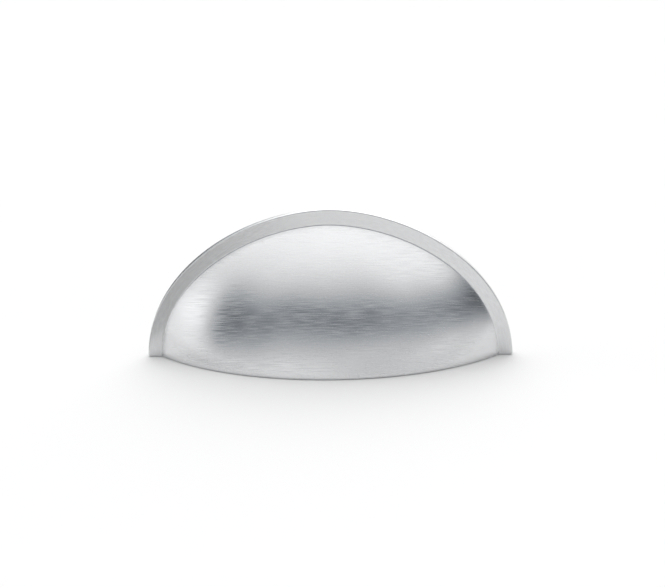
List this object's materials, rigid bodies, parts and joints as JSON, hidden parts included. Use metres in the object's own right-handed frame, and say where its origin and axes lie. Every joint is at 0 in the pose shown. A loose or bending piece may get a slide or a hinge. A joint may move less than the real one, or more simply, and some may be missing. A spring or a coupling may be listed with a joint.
{
  "type": "cup pull",
  "caption": "Half-moon cup pull for a drawer: flat arched flange, hollow finger cup open below and behind, and screw bosses inside, in satin metal.",
  "frame": {"origin": "middle of the handle's box at the standing edge, z = 0 on the lip's edge and the feet", "axes": "+X along the handle from foot to foot, +Y out of the back towards the drawer front, +Z from the lip's edge up to the crown"},
  "size_m": [0.092, 0.0235, 0.0378],
  "materials": {
    "satin_chrome": "satin brushed plating, brushed along the handle's length"
  },
  "bodies": {
    "root": {"pull_body": "satin_chrome"}
  },
  "joints": []
}
